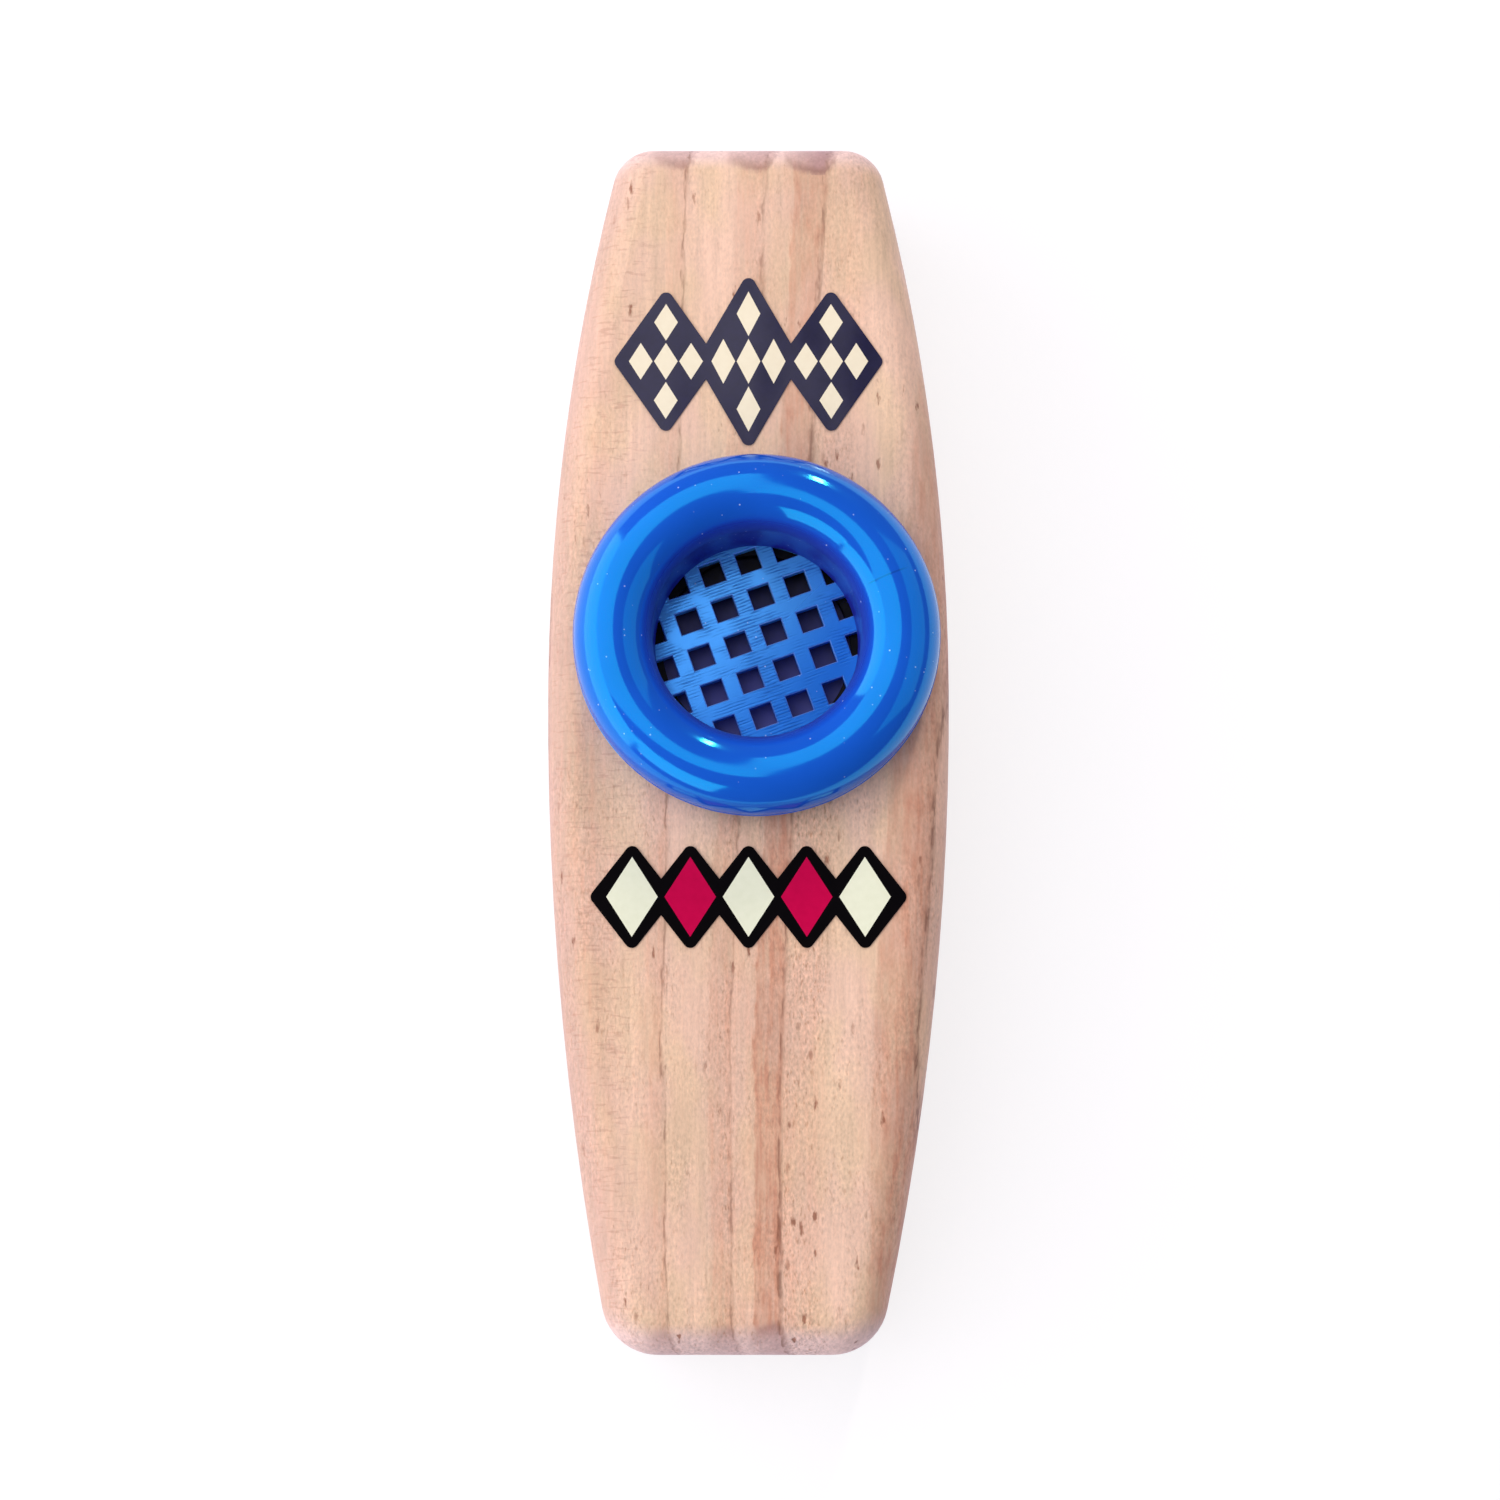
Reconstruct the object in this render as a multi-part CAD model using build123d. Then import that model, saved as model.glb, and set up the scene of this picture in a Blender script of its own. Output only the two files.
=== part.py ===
"""Wooden kazoo: a barrel-shaped softwood body with a screw-in plastic turret.

The kazoo lies on its back. +Z points out of the turret, +Y to the mouth end, +X to the player's
right, and the origin is the middle of the flat back. All lengths are millimetres.
"""
from build123d import *
import os
from math import ceil, hypot

# Wooden body
body_length = 120.0
body_thickness = 20.0
end_width = 25.6
widest_station = 5.0
side_margin = 1.95
edge_round = 3.5
mouth_corner_extra = 0.7
outlet_corner_extra = 2.0
outlet_lean = -0.4

# Air way through the body
slot_cheek = 1.1
slot_floor = 1.1
rim_ease = 0.5
well_sump = 0.6
socket_web = 0.6

# Turret ring
throat_diameter = 20.4
crown_width = 7.65
belt_height = 2.75
turret_wall = 1.8
foot_inset = 1.25
foot_width = 1.5
turret_offset_x = 0.8
turret_station_share = 0.0775

# Grille disc
grille_depth = 3.4
grille_thickness = 1.2
grille_rim = 0.75
grille_hole = 2.2
grille_pitch = 3.8
grille_turn = 19.5
grille_lattice_x = -1.73
grille_lattice_y = 0.71

# Film and its hoop
film_thickness = 0.1
hoop_height = 1.5
hoop_width = 1.45

# Threaded collar
thread_height = 0.6
collar_wall = 1.2
ledge_thickness = 1.4
lead_in = 0.4

# Vinyl stickers
decal_thickness = 0.12
decal_corner = 0.7
upper_decal_gap = 0.9
upper_diamond_width = 10.5
upper_diamond_height = 18.5
upper_diamond_pitch = 8.2
upper_diamond_count = 3
upper_side_height_share = 0.82
lower_decal_gap = 2.2
lower_diamond_width = 8.4
lower_diamond_height = 10.8
lower_diamond_pitch = 5.65
lower_diamond_count = 5

# Clearances
glue_gap = 0.05
running_gap = 0.2
seat_gap = 0.15
cut_overrun = 1.0

# Derived sizes of the turret and what it screws into
throat_radius = throat_diameter / 2
turret_radius = throat_radius + crown_width
crest_radius = throat_radius + crown_width / 2
spigot_radius = throat_radius + turret_wall
pocket_radius = throat_radius + grille_rim
grille_radius = pocket_radius - glue_gap
hoop_radius = pocket_radius - seat_gap
hoop_bore_radius = hoop_radius - hoop_width
thread_bore_radius = spigot_radius + thread_height + running_gap
collar_radius = thread_bore_radius + collar_wall
socket_radius = collar_radius + glue_gap

# Depths below the body's face
grille_floor = grille_depth + grille_thickness
hoop_floor = grille_floor + hoop_height
ledge_depth = hoop_floor + film_thickness
spigot_length = ledge_depth - running_gap
collar_depth = ledge_depth + ledge_thickness

# Derived sizes of the body and its air way
body_width = 2 * (turret_radius + side_margin)
mouth_corner_radius = edge_round + mouth_corner_extra
outlet_corner_radius = edge_round + outlet_corner_extra
mouth_slot_width = end_width - 2 * (mouth_corner_radius + slot_cheek)
back_wall = edge_round + slot_floor
well_floor = back_wall - well_sump
air_way_top = body_thickness - collar_depth - socket_web
air_way_height = air_way_top - back_wall
air_way_axis = back_wall + air_way_height / 2

# Where the turret stands on the body's face
turret_offset_y = turret_station_share * body_length
turret_seat = Pos(turret_offset_x, turret_offset_y, body_thickness)


def revolved(outline):
    """Solid of revolution about the turret's axis, from an outline in radius and height."""
    return turret_seat * revolve(make_face(Plane.XZ * outline), Axis.Z)


def stepped_ring(*corners):
    """Solid of revolution whose section has straight sides."""
    return revolved(Polyline(*corners, close=True))


def body_outline():
    """Plan of the body: barrel sides that bulge from both ends, the outlet end a touch to the left."""
    half_end = end_width / 2
    half_width = body_width / 2
    half_length = body_length / 2
    mouth_left, mouth_right = (-half_end, half_length), (half_end, half_length)
    outlet_left = (outlet_lean - half_end, -half_length)
    outlet_right = (outlet_lean + half_end, -half_length)
    widest_left, widest_right = (-half_width, widest_station), (half_width, widest_station)
    sides = [
        TangentArc(widest_right, mouth_right, tangent=(0, 1)),
        Line(mouth_right, mouth_left),
        TangentArc(widest_left, mouth_left, tangent=(0, 1)),
        TangentArc(widest_left, outlet_left, tangent=(0, -1)),
        Line(outlet_left, outlet_right),
        TangentArc(widest_right, outlet_right, tangent=(0, -1)),
    ]
    plan = make_face(sides)
    mouth_corners = plan.vertices().group_by(Axis.Y)[-1]
    plan = fillet(mouth_corners, mouth_corner_radius)
    outlet_corners = plan.vertices().group_by(Axis.Y)[0]
    return fillet(outlet_corners, outlet_corner_radius)


def air_way():
    """Flat slot from the mouth end to a round well, then a round bore to the outlet end."""
    end_plane = Plane.XZ.offset(-body_length / 2 - cut_overrun)
    at_axis = Pos(0, air_way_axis)
    slot = SlotOverall(mouth_slot_width, air_way_height)
    slot_run = body_length / 2 + cut_overrun - turret_offset_y
    mouth_slot = extrude(end_plane * at_axis * slot, slot_run)
    bore_plane = Plane.XZ.offset(-turret_offset_y)
    bore_run = body_length / 2 + cut_overrun + turret_offset_y
    outlet_bore = extrude(bore_plane * at_axis * Circle(air_way_height / 2), bore_run)
    well_height = body_thickness - well_floor
    well = Pos(turret_offset_x, turret_offset_y, well_floor) * Cylinder(
        hoop_bore_radius, well_height, align=(Align.CENTER, Align.CENTER, Align.MIN)
    )
    return mouth_slot + outlet_bore + well


def turret_socket():
    """Flat-bottomed hole that the collar is glued into."""
    return turret_seat * Pos(0, 0, -collar_depth) * Cylinder(
        socket_radius,
        collar_depth + cut_overrun,
        align=(Align.CENTER, Align.CENTER, Align.MIN),
    )


def wooden_body():
    """Block with rounded edges, bored for the air way and the turret, both ends' rims eased."""
    block = extrude(body_outline(), body_thickness)
    face_edges = block.faces().sort_by(Axis.Z)[-1].edges()
    back_edges = block.faces().sort_by(Axis.Z)[0].edges()
    block = fillet(face_edges + back_edges, edge_round)
    body = block - air_way() - turret_socket()
    ends = body.faces().filter_by(Axis.Y).sort_by(Axis.Y)
    rims = ends[0].inner_wires().edges() + ends[-1].inner_wires().edges()
    return fillet(rims, rim_ease)


def seat_collar():
    """Collar in the socket: the thread's bore above an inward ledge that carries the film."""
    return stepped_ring(
        (hoop_bore_radius, -collar_depth),
        (collar_radius, -collar_depth),
        (collar_radius, 0),
        (thread_bore_radius + lead_in, 0),
        (thread_bore_radius, -lead_in),
        (thread_bore_radius, -ledge_depth),
        (hoop_bore_radius, -ledge_depth),
    )


def turret_ring():
    """Moulded doughnut, hollow underneath, with the throat and the spigot in one piece."""
    crown_radius = crown_width / 2
    hollow_radius = crown_radius - turret_wall
    foot_radius = turret_radius - foot_inset
    throat_top = (throat_radius, belt_height)
    crest = (crest_radius, belt_height + crown_radius)
    belt = (turret_radius, belt_height)
    foot_outside = (foot_radius, 0)
    foot_inside = (foot_radius - foot_width, 0)
    hollow_outside = (crest_radius + hollow_radius, belt_height)
    hollow_crest = (crest_radius, belt_height + hollow_radius)
    hollow_inside = (spigot_radius, belt_height)
    outline = [
        ThreePointArc(throat_top, crest, belt),
        TangentArc(belt, foot_outside, tangent=(0, -1)),
        Line(foot_outside, foot_inside),
        Line(foot_inside, hollow_outside),
        ThreePointArc(hollow_outside, hollow_crest, hollow_inside),
        Polyline(
            hollow_inside,
            (spigot_radius, lead_in - spigot_length),
            (spigot_radius - lead_in, -spigot_length),
            (pocket_radius, -spigot_length),
            (pocket_radius, -grille_depth),
            (throat_radius, -grille_depth),
            throat_top,
        ),
    ]
    return revolved(Curve() + outline)


def grille():
    """Disc with square holes in a turned lattice, cut off where they meet the throat."""
    reach = ceil(throat_radius / grille_pitch) + 1
    steps = range(-reach, reach + 1)
    corner_reach = hypot(grille_hole, grille_hole) / 2
    lattice = Rot(0, 0, grille_turn) * Pos(grille_lattice_x, grille_lattice_y)
    holes = Sketch()
    for column in steps:
        for row in steps:
            place = lattice * Pos(column * grille_pitch, row * grille_pitch)
            if place.position.length < throat_radius + corner_reach:
                holes += place * Rectangle(grille_hole, grille_hole)
    plate = Circle(grille_radius) - (holes & Circle(throat_radius))
    return turret_seat * Pos(0, 0, -grille_floor) * extrude(plate, grille_thickness)


def membrane_hoop():
    """Flat hoop that sits in the spigot's pocket under the grille."""
    return stepped_ring(
        (hoop_bore_radius, -hoop_floor),
        (hoop_radius, -hoop_floor),
        (hoop_radius, -grille_floor),
        (hoop_bore_radius, -grille_floor),
    )


def membrane():
    """Film stretched under the hoop, resting on the collar's ledge."""
    return turret_seat * Pos(0, 0, -ledge_depth) * Cylinder(
        hoop_radius, film_thickness, align=(Align.CENTER, Align.CENTER, Align.MIN)
    )


def diamond_row(width, height, pitch, count, side_share=1.0):
    """Row of overlapping diamonds in one film, the middle one at full height."""
    middle = (count - 1) / 2
    row = Sketch()
    for index in range(count):
        tall = height if index == middle else height * side_share
        corners = [(-width / 2, 0), (0, -tall / 2), (width / 2, 0), (0, tall / 2)]
        diamond = make_face(Polyline(*corners, close=True))
        row += Pos((index - middle) * pitch, 0) * fillet(diamond.vertices(), decal_corner)
    return row


def upper_decal():
    """Sticker between the turret and the mouth end."""
    film = diamond_row(
        upper_diamond_width,
        upper_diamond_height,
        upper_diamond_pitch,
        upper_diamond_count,
        upper_side_height_share,
    )
    centre_y = turret_offset_y + turret_radius + upper_decal_gap + upper_diamond_height / 2
    return Pos(0, centre_y, body_thickness) * extrude(film, decal_thickness)


def lower_decal():
    """Sticker between the turret and the outlet end."""
    film = diamond_row(
        lower_diamond_width,
        lower_diamond_height,
        lower_diamond_pitch,
        lower_diamond_count,
    )
    centre_y = turret_offset_y - turret_radius - lower_decal_gap - lower_diamond_height / 2
    return Pos(0, centre_y, body_thickness) * extrude(film, decal_thickness)


sub_parts = [
    wooden_body,
    seat_collar,
    turret_ring,
    grille,
    membrane_hoop,
    membrane,
    upper_decal,
    lower_decal,
]

os.makedirs("parts", exist_ok=True)
for make_sub_part in sub_parts:
    name = make_sub_part.__name__
    export_step(make_sub_part(), os.path.join("parts", name + ".step"))
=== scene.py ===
"""Looks of the wooden kazoo: sanded pine, a moulded blue turret, vinyl stickers and a white studio."""
from math import ceil, cos, hypot, pi, radians, sin
import bpy
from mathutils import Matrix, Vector


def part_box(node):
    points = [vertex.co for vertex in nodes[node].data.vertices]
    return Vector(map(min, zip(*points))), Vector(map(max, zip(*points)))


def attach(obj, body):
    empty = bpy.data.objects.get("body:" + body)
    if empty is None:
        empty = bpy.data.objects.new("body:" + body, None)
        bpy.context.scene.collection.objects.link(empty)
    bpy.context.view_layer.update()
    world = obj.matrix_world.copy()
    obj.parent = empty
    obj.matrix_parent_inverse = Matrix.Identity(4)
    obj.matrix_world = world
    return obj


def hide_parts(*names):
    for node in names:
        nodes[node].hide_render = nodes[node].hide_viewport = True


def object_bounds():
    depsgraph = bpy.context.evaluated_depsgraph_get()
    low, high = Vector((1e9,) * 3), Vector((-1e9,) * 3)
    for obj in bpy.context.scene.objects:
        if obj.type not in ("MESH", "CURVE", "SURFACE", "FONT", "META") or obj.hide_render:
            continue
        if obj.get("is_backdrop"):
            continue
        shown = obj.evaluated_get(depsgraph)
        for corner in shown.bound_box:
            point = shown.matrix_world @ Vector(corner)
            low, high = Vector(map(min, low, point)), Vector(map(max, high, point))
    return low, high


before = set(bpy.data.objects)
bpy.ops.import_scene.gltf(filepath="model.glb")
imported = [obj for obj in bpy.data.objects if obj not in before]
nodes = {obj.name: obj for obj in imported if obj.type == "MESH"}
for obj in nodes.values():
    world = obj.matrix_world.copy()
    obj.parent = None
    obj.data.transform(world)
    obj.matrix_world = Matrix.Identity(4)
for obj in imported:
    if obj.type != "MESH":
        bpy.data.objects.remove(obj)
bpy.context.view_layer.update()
mm = 0.001

# Sizes that the solids have, in metres
edge_round = 3.5 * mm
face_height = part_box("wooden_body")[1].z
turret_axis = Vector((0.8 * mm, 9.3 * mm, face_height))
throat_radius = 10.2 * mm
crown_radius = 3.825 * mm
crest_radius = throat_radius + crown_radius
belt_height = 2.75 * mm
turret_wall = 1.8 * mm
foot_inset = 1.25 * mm
foot_width = 1.5 * mm
spigot_radius = throat_radius + turret_wall
spigot_length = 6.0 * mm
lead_in = 0.4 * mm
grille_rim = 0.75 * mm
glue_gap = 0.05 * mm
pocket_radius = throat_radius + grille_rim
grille_depth = 3.4 * mm
grille_thickness = 1.2 * mm
grille_radius = pocket_radius - glue_gap
grille_hole = 2.2 * mm
grille_pitch = 3.8 * mm
grille_turn = radians(19.5)
grille_lattice = (-1.73 * mm, 0.71 * mm)
thread_bore_radius = 12.8 * mm
thread_pitch = 3.0 * mm
upper_decal_low, upper_decal_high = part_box("upper_decal")
lower_decal_low, lower_decal_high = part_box("lower_decal")


# Nodes, colours and pieces

def feed(tree, node, inputs):
    """Gives a node its inputs: each is a value, a socket, or a node that stands for its first output."""
    for key, value in inputs.items():
        if isinstance(value, bpy.types.Node):
            value = value.outputs[0]
        if isinstance(value, bpy.types.NodeSocket):
            tree.links.new(value, node.inputs[key])
        else:
            node.inputs[key].default_value = value


def add(tree, kind, inputs=None, stops=None, **settings):
    """Adds one node with its settings, its colour stops and its inputs."""
    node = tree.nodes.new(kind)
    for key, value in settings.items():
        setattr(node, key, value)
    if stops:
        elements = node.color_ramp.elements
        while len(elements) < len(stops):
            elements.new(1.0)
        for element, (position, shade) in zip(elements, stops):
            element.position = position
            element.color = shade
    feed(tree, node, inputs or {})
    return node


def colour(code):
    """Linear colour of an sRGB hex code."""
    parts = [int(code[i:i + 2], 16) / 255 for i in (1, 3, 5)]
    return tuple(((c + 0.055) / 1.055) ** 2.4 if c > 0.04045 else c / 12.92 for c in parts) + (1.0,)


def grey(value):
    """Linear grey."""
    return (value, value, value, 1.0)


def per(*sizes):
    """Scale of a pattern whose features have these sizes, in millimetres."""
    return tuple(1.0 / (size * mm) for size in sizes)


def new_material(name, base, roughness, **sockets):
    """Principled material with its plain values set on the shader's own sockets."""
    material = bpy.data.materials.new(name)
    material.use_nodes = True
    tree = material.node_tree
    shader = tree.nodes["Principled BSDF"]
    feed(tree, shader, {"Base Color": colour(base), "Roughness": roughness})
    feed(tree, shader, {key.replace("_", " "): value for key, value in sockets.items()})
    return material, tree, shader


def layered(tree, ground, layers):
    """Colours laid over a ground, each by its own factor."""
    for factor, code in layers:
        mixed = add(
            tree, "ShaderNodeMix", {"Factor": factor, "A": ground, "B": colour(code)}, data_type="RGBA",
        )
        ground = mixed.outputs["Result"]
    return ground


def new_piece(name, mesh, body):
    """Object at the origin with its place in its mesh, riding on a body."""
    piece = bpy.data.objects.new(name, mesh)
    bpy.context.scene.collection.objects.link(piece)
    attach(piece, body)
    return piece


def dress(node, material):
    """Gives a node of the solids its material."""
    for slot in nodes[node].material_slots:
        slot.material = material


# Materials

# How late in the year each layer of the pine grew, across the rings, in millimetres from the middle
pine_layers = (
    (-26.0, 0.75), (-20.5, 0.75), (-20.3, 0.60), (-15.0, 0.50), (-13.2, 0.34), (-12.2, 0.22),
    (-10.5, 0.18), (-7.7, 0.60), (-7.45, 0.24),
    (-4.0, 0.18), (-3.1, 0.24), (-2.9, 0.50), (-0.7, 0.60), (-0.45, 0.36),
    (1.75, 0.38), (1.95, 0.95), (4.65, 1.00), (4.85, 0.50),
    (8.2, 0.42), (9.8, 0.16), (11.5, 0.10), (13.9, 0.24), (14.3, 0.64), (16.0, 0.88),
    (18.5, 0.95), (18.7, 0.40), (22.0, 0.40), (24.0, 0.80), (24.2, 0.30), (30.0, 0.30),
)
# Layers whose grain is coarse
coarse_layers = ((-1.8, 0.0), (-1.2, 0.6), (-0.6, 0.0), (4.8, 0.0), (5.1, 1.0), (8.0, 1.0), (9.6, 0.0))
# Where a year's growth ends in a thin line, and how dark the line is
pine_lines = ((-20.4, 0.7), (-7.55, 0.65), (-0.55, 0.48), (4.75, 1.0), (18.6, 0.8), (24.1, 0.7))
# How deep each line's scallop is in the edge of an end
pine_scallops = ((-20.4, 0.3), (-7.55, 0.45), (-0.55, 0.6), (4.75, 1.0), (18.6, 0.5), (24.1, 0.4))
# Sections across a line, in millimetres: the line itself, the resin that it bleeds, its scallop
line_section = ((-0.26, 0.0), (-0.06, 1.0), (0.04, 1.0), (0.14, 0.0))
resin_section = ((-0.8, 0.0), (0.0, 1.0), (0.4, 0.0))
scallop_section = ((-4.5, 0.0), (-2.2, 0.6), (-0.5, 1.0), (0.9, 0.0))
# How the rings run: lean along the body, a bend before the outlet end, tilt in depth, and how much
# wider they grow in each metre towards the mouth end
ring_lean = -0.0415
bend_station = 30.0 * mm
bend_lean = 0.05
ring_tilt = 0.28
ring_fan = 2.2
# How far each pattern sways the rings
ring_sways = (("cloud", 0.8 * mm), ("fibre", 0.5 * mm), ("jag", 0.8 * mm))
# Where along the body latewood fades, the grain grows calm and the end grain grows keen
fade_start, fade_end = -5.0 * mm, 45.0 * mm
calm_start, calm_end = 5.0 * mm, 35.0 * mm
keen_start, keen_end = -10.0 * mm, 10.0 * mm
# Where across the rings the plane began to chatter, and where it did so in full
chatter_start, chatter_end = -9.0 * mm, -12.5 * mm
fibre_relief = 0.06 * mm


def sanded_pine():
    """Sanded bare pine: pale earlywood, pinkish latewood bands along the length, resin flecks."""
    material, tree, shader = new_material(
        "sanded_pine", "#e8c3a9", 0.6, IOR=1.45,
        Sheen_Weight=0.2, Sheen_Roughness=0.45, Sheen_Tint=colour("#d3c0ee"),
    )
    source = add(tree, "ShaderNodeTexCoord").outputs
    place = source["Object"]
    x, y, z = add(tree, "ShaderNodeSeparateXYZ", {0: place}).outputs
    facing = add(tree, "ShaderNodeSeparateXYZ", {0: source["Normal"]}).outputs
    facing_end = add(tree, "ShaderNodeMath", {0: facing["Y"]}, operation="ABSOLUTE")

    # Patterns of the wood, each with the size of its features across, along and through
    noises = {}
    for name, sizes, detail in (
        ("fibre", (0.45, 8.0, 0.45), 4.0),
        ("tooth", (0.26, 0.50, 0.26), 2.0),
        ("speck", (0.26, 0.80, 0.26), 2.0),
        ("jag", (0.60, 2.2, 0.60), 2.0),
        ("seep", (3.0, 9.0, 3.0), 2.0),
        ("blush", (5.0, 11.0, 5.0), 2.0),
        ("cloud", (7.0, 16.0, 7.0), 3.0),
        ("chatter", (1.5, 0.33, 1.5), 2.0),
    ):
        spread = add(tree, "ShaderNodeMapping", {"Vector": place, "Scale": per(*sizes)})
        noises[name] = add(tree, "ShaderNodeTexNoise", {"Vector": spread, "Scale": 1.0, "Detail": detail})

    # Distance across the rings
    lean = add(tree, "ShaderNodeMath", {0: y, 1: ring_lean, 2: x}, operation="MULTIPLY_ADD")
    bend = add(tree, "ShaderNodeMath", {0: y, 1: bend_station}, operation="ADD")
    bend = add(tree, "ShaderNodeMath", {0: bend, 1: 0.0}, operation="MINIMUM")
    lean = add(tree, "ShaderNodeMath", {0: bend, 1: bend_lean, 2: lean}, operation="MULTIPLY_ADD")
    depth = add(tree, "ShaderNodeMath", {0: z, 1: face_height}, operation="SUBTRACT")
    tilt = add(tree, "ShaderNodeMath", {0: depth, 1: ring_tilt, 2: lean}, operation="MULTIPLY_ADD")
    fan = add(tree, "ShaderNodeMath", {0: y, 1: ring_fan, 2: 1.0}, operation="MULTIPLY_ADD")
    across = add(tree, "ShaderNodeMath", {0: tilt, 1: fan}, operation="DIVIDE")
    for name, sway in ring_sways:
        centred = add(tree, "ShaderNodeMath", {0: noises[name], 1: 0.5}, operation="SUBTRACT")
        across = add(tree, "ShaderNodeMath", {0: centred, 1: sway, 2: across}, operation="MULTIPLY_ADD")

    # What the wood is at that distance
    first, last = pine_layers[0][0], pine_layers[-1][0]
    ring = add(tree, "ShaderNodeMapRange", {"Value": across, "From Min": first * mm, "From Max": last * mm})
    stops = {"late": pine_layers, "coarse": coarse_layers, "line": [], "resin": [], "scallop": []}
    for name, section, lines in (
        ("line", line_section, pine_lines),
        ("resin", resin_section, pine_lines),
        ("scallop", scallop_section, pine_scallops),
    ):
        for end, darkness in lines:
            stops[name] += [(end + distance, darkness * value) for distance, value in section]
    rings = {}
    for name, pairs in stops.items():
        shares = [((distance - first) / (last - first), grey(value)) for distance, value in pairs]
        rings[name] = add(tree, "ShaderNodeValToRGB", {0: ring}, stops=shares)

    # Latewood fades to the mouth end, and is streaked and mottled
    fade = add(tree, "ShaderNodeMapRange", {
        "Value": y, "From Min": fade_start, "From Max": fade_end, "To Min": 1.0, "To Max": 0.70,
    })
    streak = add(tree, "ShaderNodeMapRange", {
        "Value": noises["fibre"], "From Min": 0.3, "From Max": 0.7, "To Min": 0.50, "To Max": 1.05,
    })
    mottle = add(tree, "ShaderNodeMapRange", {
        "Value": noises["jag"], "From Min": 0.3, "From Max": 0.7, "To Min": 0.78, "To Max": 1.22,
    })
    late = rings["late"]
    for share in (fade, streak, mottle):
        late = add(tree, "ShaderNodeMath", {0: late, 1: share}, operation="MULTIPLY")

    # A year's dark line comes and goes, and here and there it bleeds resin
    broken = add(tree, "ShaderNodeMapRange", {
        "Value": noises["jag"], "From Min": 0.42, "From Max": 0.58, "To Min": 0.25, "To Max": 1.0,
    })
    line = add(tree, "ShaderNodeMath", {0: broken, 1: rings["line"]}, operation="MULTIPLY")
    seeping = add(tree, "ShaderNodeMapRange", {
        "Value": noises["seep"], "From Min": 0.58, "From Max": 0.68, "To Max": 0.7,
    })
    resin = add(tree, "ShaderNodeMath", {0: seeping, 1: rings["resin"]}, operation="MULTIPLY")

    # Resin flecks: short ragged dashes, each in its own cell, and smaller ones that crowd the coarse
    # layers, less so towards the mouth end, where the grain is calm
    calm = add(tree, "ShaderNodeMapRange", {
        "Value": y, "From Min": calm_start, "From Max": calm_end, "To Min": 1.0, "To Max": 0.45,
    })
    crowded = add(tree, "ShaderNodeMath", {0: rings["coarse"], 1: calm}, operation="MULTIPLY")
    ragged = add(tree, "ShaderNodeMath", {0: noises["speck"], 1: 0.5}, operation="SUBTRACT")
    fleck = 0.0
    for sizes, reach, crowding, rarity in (
        ((1.3, 4.2, 1.3), 0.19, 0.0, 0.56),
        ((1.1, 2.6, 1.1), 0.25, 1.0, 1.20),
    ):
        spread = add(tree, "ShaderNodeMapping", {"Vector": place, "Scale": per(*sizes)})
        cells = add(tree, "ShaderNodeTexVoronoi", {"Vector": spread, "Scale": 1.0}).outputs
        distance = add(
            tree, "ShaderNodeMath", {0: ragged, 1: 0.45, 2: cells["Distance"]}, operation="MULTIPLY_ADD",
        )
        near = add(tree, "ShaderNodeMapRange", {
            "Value": distance, "From Min": reach, "From Max": reach - 0.12,
        })
        draw = add(tree, "ShaderNodeSeparateColor", {0: cells["Color"]})
        draw = add(tree, "ShaderNodeMath", {0: crowded, 1: crowding, 2: draw}, operation="MULTIPLY_ADD")
        draw = add(tree, "ShaderNodeMapRange", {
            "Value": draw, "From Min": rarity, "From Max": rarity + 0.34, "To Max": 0.85,
        })
        spot = add(tree, "ShaderNodeMath", {0: near, 1: draw}, operation="MULTIPLY")
        fleck = add(tree, "ShaderNodeMath", {0: spot, 1: fleck}, operation="MAXIMUM")

    # Open pores, thick in some places
    open_grain = add(tree, "ShaderNodeMapRange", {
        "Value": noises["seep"], "From Min": 0.35, "From Max": 0.65, "To Min": 0.1, "To Max": 0.5,
    })
    open_grain = add(
        tree, "ShaderNodeMath", {0: rings["coarse"], 1: 0.3, 2: open_grain}, operation="MULTIPLY_ADD",
    )
    open_grain = add(tree, "ShaderNodeMath", {0: open_grain, 1: calm}, operation="MULTIPLY")
    pore = add(tree, "ShaderNodeMapRange", {"Value": noises["speck"], "From Min": 0.56, "From Max": 0.74})
    pore = add(tree, "ShaderNodeMath", {0: pore, 1: open_grain}, operation="MULTIPLY")

    # The plane's chatter on the left edge of the face
    chatter = add(tree, "ShaderNodeMapRange", {
        "Value": noises["chatter"], "From Min": 0.56, "From Max": 0.68,
    })
    left_edge = add(tree, "ShaderNodeMapRange", {
        "Value": across, "From Min": chatter_start, "From Max": chatter_end, "To Max": 0.4,
    })
    on_face = add(tree, "ShaderNodeMapRange", {
        "Value": z, "From Min": face_height - edge_round, "From Max": face_height - edge_round / 3,
    })
    for share in (left_edge, on_face):
        chatter = add(tree, "ShaderNodeMath", {0: chatter, 1: share}, operation="MULTIPLY")

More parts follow.
